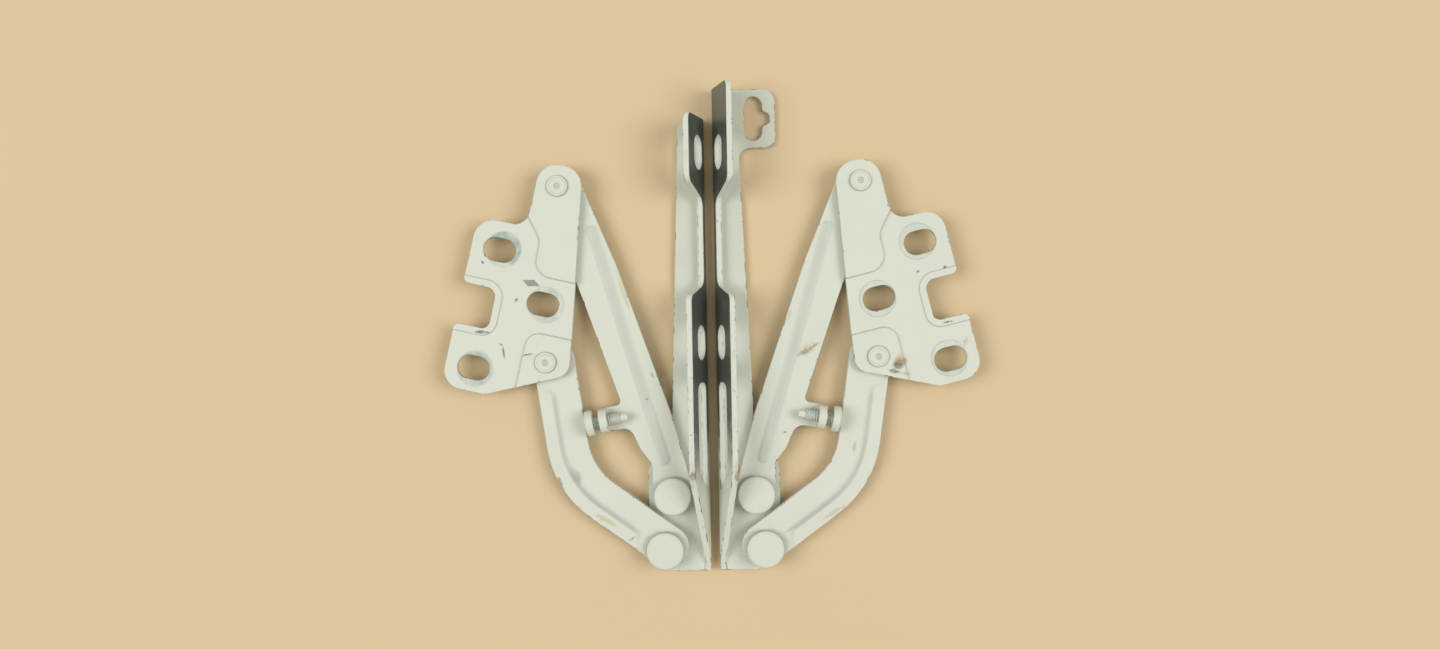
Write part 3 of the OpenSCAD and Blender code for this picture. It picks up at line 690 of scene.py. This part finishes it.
def fill_flat_parts(mesh):
    """Fills the flat parts anew, and weights each corner's normal by the size of the parts around it."""
    work = bmesh.new()
    work.from_mesh(mesh)
    whole = work.faces.layers.float.new("whole")
    for face in work.faces:
        face[whole] = face.calc_area()
    for part in list(flat_parts(work)):
        size = sum(face[whole] for face in part)
        if max(len(face.verts) for face in part) > PLAIN_CORNERS:
            part = fill_part(work, part)
        for face in part:
            face[whole] = size
    bmesh.ops.delete(work, geom=[edge for edge in work.edges if edge.is_wire], context="EDGES")
    work.to_mesh(mesh)
    work.free()
    around = [[] for _ in mesh.vertices]
    for face, size in zip(mesh.polygons, mesh.attributes["whole"].data):
        for corner in face.vertices:
            around[corner].append((face.normal.copy(), size.value))
    normals = []
    for face in mesh.polygons:
        for corner in face.vertices:
            near = [normal * size for normal, size in around[corner] if normal.dot(face.normal) > SMOOTH_TO]
            normals.append(sum(near, Vector()).normalized())
    mesh.normals_split_custom_set(normals)
    mesh.attributes.remove(mesh.attributes["whole"])


print("filling ready")

# %% Sheet pieces
JOIN_ANGLE = math.radians(0.5)
RIM_SEGMENTS = 3


def as_mesh(piece, name):
    """The piece with its modifiers applied, as a plain mesh."""
    graph = bpy.context.evaluated_depsgraph_get()
    mesh = bpy.data.meshes.new_from_object(piece.evaluated_get(graph), depsgraph=graph)
    mesh.name = name
    return mesh


def pressed(node, kind, material, body):
    """A sheet piece with soft edges that stands for its solid."""
    work = bmesh.new()
    work.from_mesh(frame["nodes"][node].data)
    share, rise, crease = (work.verts.layers.float.new(name) for name in ("share", "rise", "crease"))
    rim = work.edges.layers.float.new("rim")
    bmesh.ops.remove_doubles(work, verts=work.verts, dist=WELD)
    bmesh.ops.dissolve_limit(work, angle_limit=JOIN_ANGLE, verts=work.verts, edges=work.edges)
    steps = find_steps(work)
    mark_rims(work, steps, rim)
    lean_steps(work, steps, RAMPS[kind], share, rise)
    bend_steps(work, steps, share, rise, crease)
    end_steps(work, rim, rise)
    mesh = bpy.data.meshes.new(node + "_pressed")
    work.to_mesh(mesh)
    work.free()
    mesh.materials.clear()
    for _ in (FLAT, CUT):
        mesh.materials.append(material)
    mesh.polygons.foreach_set("material_index", [FLAT] * len(mesh.polygons))
    mesh.shade_smooth()
    piece = bpy.data.objects.new(node + "_pressed", mesh)
    bpy.context.scene.collection.objects.link(piece)
    bevel = piece.modifiers.new("rim", "BEVEL")
    bevel.limit_method = "WEIGHT"
    bevel.edge_weight = "rim"
    bevel.width = RIM
    bevel.segments = RIM_SEGMENTS
    bevel.material = CUT
    bevel.use_clamp_overlap = False
    finished = as_mesh(piece, node + "_sheet")
    piece.modifiers.clear()
    fill_flat_parts(finished)
    piece.data = finished
    for name in ("rim", "share", "rise"):
        finished.attributes.remove(finished.attributes[name])
    mark = finished.attributes.new("rim", "FLOAT", "FACE")
    mark.data.foreach_set("value", [float(face.material_index == CUT) for face in finished.polygons])
    finished.polygons.foreach_set("material_index", [FLAT] * len(finished.polygons))
    finished.materials.pop()
    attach(piece, body)
    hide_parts(node)
    print(node, "step walls:", len(steps), "faces:", len(finished.polygons))


for side in SIDES:
    pressed(side + "_body_plate", "body_plate", plate_paints[side], side + "_plate")
    pressed(side + "_long_arm", "long_arm", arm_paints[side, "long"], side + "_long")
    pressed(side + "_curved_arm", "curved_arm", arm_paints[side, "curved"], side + "_curved")
    pressed(side + "_bonnet_bracket", "bonnet_bracket", bracket_paints[side], "bonnet_brackets")

# %% [markdown]
# ## Turned rivets
# A stepped rivet is a turned shape: a row of radii and heights, spun about its pivot. Geometry Nodes make
# it once from named sizes and set a copy on each pivot. The rows are picked by index on a grid, which is
# wrapped round the axis and welded, so one function serves for every turned piece here.

# %% A lathe in geometry nodes
AROUND = 72
SEAM = 0.005 * MM
SHARP_TURNED = math.radians(40)


def new_tree(name, sizes):
    """A tree with a geometry in and out and named sizes, which are given in millimetres."""
    tree = bpy.data.node_groups.new(name, "GeometryNodeTree")
    tree.interface.new_socket("Geometry", in_out="INPUT", socket_type="NodeSocketGeometry")
    tree.interface.new_socket("Geometry", in_out="OUTPUT", socket_type="NodeSocketGeometry")
    for size in sizes:
        tree.interface.new_socket(size, in_out="INPUT", socket_type="NodeSocketFloat")
    graph = Graph(tree)
    given = graph.add("NodeGroupInput")
    return graph, given, {size: given.other(size) * MM for size in sizes}


def wrap(graph, grid, radius, turn, height):
    """Wraps a grid round the z axis and welds its seam."""
    place = graph.add("ShaderNodeCombineXYZ", inputs={
        "X": radius * graph.maths("COSINE", turn), "Y": radius * graph.maths("SINE", turn), "Z": height})
    spun = graph.add("GeometryNodeSetPosition", inputs={"Geometry": grid, "Position": place})
    return graph.add("GeometryNodeMergeByDistance", inputs={"Geometry": spun, "Distance": SEAM})


def lathe(graph, rows, around=AROUND):
    """Spins rows of radius and height about the z axis, from the bottom to the top."""
    grid = graph.add("GeometryNodeMeshGrid", inputs={"Vertices X": around + 1, "Vertices Y": len(rows)})
    index = graph.add("GeometryNodeInputIndex")
    row = index % len(rows)
    turn = graph.maths("FLOOR", index / len(rows)) * (2 * math.pi / around)
    picks = []
    for values in zip(*rows):
        choices = {"Index": row}
        choices.update({place + 1: value for place, value in enumerate(values)})
        settings = {"data_type": "FLOAT", "choices": len(rows)}
        picks.append(graph.add("GeometryNodeIndexSwitch", settings, choices))
    radius, height = picks
    return wrap(graph, grid, radius, turn, height)


def finish_tree(graph, given, shape, *materials):
    """Sets the shape on each point, makes the copies real and paints each selection of them."""
    copies = graph.add("GeometryNodeInstanceOnPoints", inputs={"Points": given, "Instance": shape})
    painted = graph.add("GeometryNodeRealizeInstances", inputs={"Geometry": copies})
    for material, selection in materials:
        painted = graph.add("GeometryNodeSetMaterial", inputs={
            "Geometry": painted, "Material": material, "Selection": selection})
    graph.add("NodeGroupOutput", inputs={"Geometry": painted})
    return graph.tree


def grow(name, tree, nodes, sizes, on_pivots=True):
    """Runs a tree on the nodes' pivots, or once at the origin, and keeps the result as a plain mesh."""
    seeds = bpy.data.meshes.new(name + "_points")
    points = [Vector((*pivot(node), 0)) * MM for node in nodes] if on_pivots else [Vector()]
    seeds.from_pydata(points, [], [])
    piece = bpy.data.objects.new(name, seeds)
    bpy.context.scene.collection.objects.link(piece)
    modifier = piece.modifiers.new("grow", "NODES")
    modifier.node_group = tree
    for item in tree.interface.items_tree:
        if item.in_out == "INPUT" and item.name in sizes:
            modifier[item.identifier] = float(sizes[item.name])
    mesh = as_mesh(piece, name + "_mesh")
    piece.modifiers.clear()
    piece.data = mesh
    mesh.shade_smooth()
    mesh.set_sharp_from_angle(angle=SHARP_TURNED)
    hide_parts(*nodes)
    print(name, "faces:", len(mesh.polygons))
    return piece


print("lathe ready")

# %% [markdown]
# The plate's rivets lie head down on the bench. What shows is the formed tail: a low button with a rolled
# rim and the dimple of the forming tool in its middle. The bracket's rivets show their wide flat heads
# instead.

# %% Rivet grooves
# The radius of each groove and how strongly it is painted in shade
TAIL_GROOVES = [(0.5, 0.7), (1.5, 0.35), (4.1, 0.3)]
HEAD_GROOVES = [(9.3, 0.5), (8.4, 0.15)]
GROOVES = {"a": TAIL_GROOVES, "c": TAIL_GROOVES, "b": HEAD_GROOVES, "d": HEAD_GROOVES}
for side in SIDES:
    for rivet in "abcd":
        for radius, shade_strength in GROOVES[rivet]:
            groove = rivet_paint.ring(*pivot(side + "_rivet_" + rivet), radius, fade=2.5)
            uneven = rivet_paint.uneven(size=3, least=0.5, spread=0.8)
            rivet_paint.layer(groove * uneven, GROOVE_SHADE, strength=shade_strength)
rivet_paint = rivet_paint.close(bump_size=0.6, bump_height=0.05)
print("grooves:", {rivet: len(grooves) for rivet, grooves in GROOVES.items()})

# %% Rivet shapes
PAD_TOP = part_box("right_body_plate")[1].z / MM
SHEET = 3.0
RIVET = {
    "Head radius": 9.5, "Head height": 3.0, "Rim": 0.7, "Pin radius": 4.0, "Neck radius": 3.0,
    "Seat": 3.0, "Pad": PAD_TOP - SHEET, "Sheet": SHEET, "Tail radius": 5.2, "Tail height": 1.6,
    "Flush radius": 5.0, "Flush depth": 1.6,
}


def plate_rivet_tree():
    graph, given, size = new_tree("plate_rivet", RIVET)
    head, rim, seat = size["Head radius"], size["Rim"], size["Seat"]
    top = size["Pad"] + size["Sheet"]
    tail, crown = size["Tail radius"], top + size["Tail height"]
    shape = lathe(graph, [
        (0.0, seat - size["Head height"]),
        (head - rim, seat - size["Head height"]),
        (head, seat - size["Head height"] + rim),
        (head, seat - rim),
        (head - rim, seat),
        (size["Pin radius"], seat),
        (size["Pin radius"], size["Pad"]),
        (size["Neck radius"], size["Pad"]),
        (size["Neck radius"], top),
        (tail - rim * 0.3, top),
        (tail, top + rim * 0.5),
        (tail, crown - rim),
        (tail - rim * 0.3, crown - rim * 0.3),
        (tail - rim, crown - rim * 0.04),
        (tail - rim * 1.6, crown - rim * 0.1),
        (tail - rim * 2.4, crown - rim * 0.28),
        (tail * 0.4, crown - rim * 0.1),
        (tail * 0.29, crown - rim * 0.25),
        (tail * 0.2, crown - rim * 1.4),
        (0.0, crown - rim * 1.7),
    ])
    return finish_tree(graph, given, shape, (rivet_paint, True))


def bracket_rivet_tree():
    graph, given, size = new_tree("bracket_rivet", RIVET)
    head, rim, seat = size["Head radius"], size["Rim"], size["Seat"]
    crown = size["Pad"] + size["Head height"]
    shape = lathe(graph, [
        (0.0, 0.0),
        (size["Flush radius"], 0.0),
        (size["Neck radius"], size["Flush depth"]),
        (size["Neck radius"], seat),
        (size["Pin radius"], seat),
        (size["Pin radius"], size["Pad"]),
        (head - rim * 0.5, size["Pad"]),
        (head, size["Pad"] + rim * 0.5),
        (head, crown - rim * 1.2),
        (head - rim * 0.25, crown - rim * 0.5),
        (head - rim * 0.9, crown - rim * 0.08),
        (head - rim * 1.8, crown),
        (head * 0.5, crown - rim * 0.1),
        (0.0, crown - rim * 0.14),
    ])
    return finish_tree(graph, given, shape, (rivet_paint, True))


plate_rivet = plate_rivet_tree()
bracket_rivet = bracket_rivet_tree()
print("rivet trees:", plate_rivet.name, bracket_rivet.name)

# %% Rivets on their pivots
for side in SIDES:
    nodes = [side + "_rivet_a", side + "_rivet_c"]
    tails = grow(side + "_plate_rivets", plate_rivet, nodes, RIVET)
    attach(tails, side + "_plate")

nodes = [side + "_rivet_" + place for side in SIDES for place in "bd"]
heads = grow("bracket_rivets", bracket_rivet, nodes, RIVET)
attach(heads, "bonnet_brackets")

# %% [markdown]
# ## Stop screw
# A screw through the arm's turned-up tab sets the closed position: its round head meets the curved arm,
# and a small six-sided end takes the spanner. The thread is a helix, so the shank is a wrapped grid whose
# radius follows the turn and the height together.

# %% Threaded screw
SCREW = {"Length": 21.4, "Head radius": 6.5, "Head height": 4.3, "Shank radius": 3.0, "Pitch": 1.25,
         "Thread depth": 0.45, "Drive radius": 2.4, "Drive length": 3.0}
DRIVE_SIDES = 6
THREAD_ROWS = 90
THREAD_END = 1 / 30
THREAD_TIP = 0.2
SHANK_SLACK = 1.01
FACE_DEPTH = 0.2 * MM
ZINC = srgb(196, 200, 188)
ZINC_SHADE = srgb(166, 170, 158)
screw_paint = base_coat("screw_paint", chips=0.2).close(bump_size=0.6, bump_height=0.05)
shank_zinc = Finish("shank_zinc", ZINC, roughness=0.42)
shank_zinc.layer(shank_zinc.noise(size=2.5), ZINC_SHADE, strength=0.6)
shank_zinc.layer(shank_zinc.patches(size=1.5, cover=0.3), GRIME, roughness=0.6, strength=0.25)
shank_zinc = shank_zinc.close(bump_size=0.4, bump_height=0.04)


def screw_tree():
    graph, given, size = new_tree("stop_screw", SCREW)
    head, deep, shank = size["Head radius"], size["Head height"], size["Shank radius"]
    length, drive = size["Length"], size["Drive radius"]
    button = lathe(graph, [
        (0.0, deep * 0.02),
        (head * 0.62, deep * 0.03),
        (head * 0.9, deep * 0.14),
        (head, deep * 0.32),
        (head, deep * 0.78),
        (head * 0.94, deep),
        (shank, deep),
    ])
    stub = lathe(graph, [
        (drive, length - size["Drive length"] * 1.3),
        (drive, length - size["Drive length"] * 0.12),
        (drive * 0.88, length),
        (0.0, length),
    ], around=DRIVE_SIDES)
    around = AROUND // 2
    grid = graph.add("GeometryNodeMeshGrid", inputs={"Vertices X": around + 1, "Vertices Y": THREAD_ROWS})
    index = graph.add("GeometryNodeInputIndex")
    turns = graph.maths("FLOOR", index / THREAD_ROWS) / around
    share = (index % THREAD_ROWS) / (THREAD_ROWS - 1)
    height = deep + share * (length - size["Drive length"] - deep)
    wave = abs(graph.maths("FRACT", height / size["Pitch"] - turns) - 0.5) * 2
    narrowing = THREAD_TIP + share.ramp(1, -THREAD_END) * (1 - THREAD_TIP)
    radius = (shank - size["Thread depth"] * wave) * narrowing
    thread = wrap(graph, grid, radius, turns * (2 * math.pi), height)
    shape = graph.add("GeometryNodeJoinGeometry")
    for part in (button, stub, thread):
        graph.tree.links.new(part.socket, shape.socket.node.inputs[0])
    spot = graph.add("ShaderNodeSeparateXYZ", inputs={0: graph.add("GeometryNodeInputPosition")})
    from_axis = (spot ** 2 + spot.other("Y") ** 2) ** 0.5
    on_shank = (graph.maths("LESS_THAN", from_axis, shank * SHANK_SLACK)
                * graph.maths("GREATER_THAN", spot.other("Z"), deep)
                * graph.maths("LESS_THAN", spot.other("Z"), length - size["Drive length"]))
    return finish_tree(graph, given, shape, (screw_paint, True), (shank_zinc, on_shank))


stop_screw = screw_tree()
print("screw tree:", stop_screw.name)

# %% Screws in their tabs
def screw_place(side):
    """Turns the screw's axis into the one that its tab gives it, and sets its head where the solid's is."""
    node = frame["nodes"][side + "_stop_bolt"]
    axis = Vector(joints[side + "_stop_adjust"]["axis"]).normalized()
    reach = [corner.co.dot(axis) for corner in node.data.vertices]
    low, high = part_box(side + "_stop_bolt")
    last = min(reach) + FACE_DEPTH
    near = [corner.co for corner in node.data.vertices if corner.co.dot(axis) < last]
    face = sum(near, Vector()) / len(near)
    face.z = (low.z + high.z) / 2
    return Matrix.Translation(face) @ axis.to_track_quat("Z", "Y").to_matrix().to_4x4()


for side in SIDES:
    screw = grow(side + "_stop_screw", stop_screw, [side + "_stop_bolt"], SCREW, on_pivots=False)
    screw.data.transform(screw_place(side))
    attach(screw, side + "_stop")

# %% [markdown]
# ## Bushes
# The arms turn on flanged bushes, hidden between the sheets. They keep their solids and get a dull,
# mottled bronze, which shows when the hinge is opened and seen from the side.

# %% Bush bronze
BRONZE = srgb(139, 128, 104)
BRONZE_SHADE = srgb(98, 90, 74)
BRONZE_METALLIC = 0.8


def bush_bronze():
    finish = Finish("bush_bronze", BRONZE, roughness=0.4)
    finish.layer(finish.noise(size=2), BRONZE_SHADE, strength=0.6)
    finish.layer(finish.patches(size=3, cover=0.3), GRIME, roughness=0.6, strength=0.5)
    finish.shader.inputs["Metallic"].default_value = BRONZE_METALLIC
    return finish.close(bump_size=0.3, bump_height=0.03)


bronze = bush_bronze()
for side in SIDES:
    for place in "abcd":
        bush = frame["nodes"][side + "_bush_" + place]
        bush.data.materials.clear()
        bush.data.materials.append(bronze)
print("bushes in", bronze.name)

# %% [markdown]
# ## Bench and light
# The hinges lie on a plain pale board in even daylight. In the photo the shadows lie on the inner side of
# both hinges, so the light comes from both outer sides: two large soft lamps and a bright surrounding.

# %% Floor
FLOOR = srgb(215, 192, 152)
FLOOR_SHADE = srgb(203, 180, 139)
FLOOR_REACH = 8
FLOOR_LEVEL = -0.3 * MM
floor_finish = Finish("pale_board", FLOOR, roughness=0.8)
floor_finish.layer(floor_finish.noise(size=60), FLOOR_SHADE, strength=0.12)
floor_mesh = bpy.data.meshes.new("bench")
ways = ((-1, -1), (1, -1), (1, 1), (-1, 1))
corners = [(FLOOR_REACH * x, FLOOR_REACH * y, FLOOR_LEVEL) for x, y in ways]
floor_mesh.from_pydata(corners, [], [range(4)])
floor_mesh.materials.append(floor_finish.close(bump_size=1.5, bump_height=0.02))
bench = bpy.data.objects.new("bench", floor_mesh)
bpy.context.scene.collection.objects.link(bench)
print("floor", tuple(round(v, 3) for v in FLOOR[:3]))

# %% Lamps
# Places and sizes in metres
LAMPS = {"left_lamp": (-1.8, 0.1, 2.2), "right_lamp": (1.85, 0.1, 2.2)}
LAMP_SIZE = 1.7
LAMP_WATTS = 37
DAYLIGHT = (1.0, 0.99, 0.97, 1)
DAYLIGHT_STRENGTH = 0.42


def soft_lamp(name, place):
    lamp = bpy.data.lights.new(name, "AREA")
    lamp.shape = "DISK"
    lamp.size = LAMP_SIZE
    lamp.energy = LAMP_WATTS
    holder = bpy.data.objects.new(name, lamp)
    holder.location = place
    holder.rotation_euler = (-Vector(place)).to_track_quat("-Z", "Y").to_euler()
    bpy.context.scene.collection.objects.link(holder)


for name, place in LAMPS.items():
    soft_lamp(name, place)
world = bpy.data.worlds.new("daylight")
world.use_nodes = True
background = world.node_tree.nodes["Background"]
background.inputs["Color"].default_value = DAYLIGHT
background.inputs["Strength"].default_value = DAYLIGHT_STRENGTH
bpy.context.scene.world = world
bpy.context.scene.view_settings.view_transform = "Standard"
print("lamps ready")
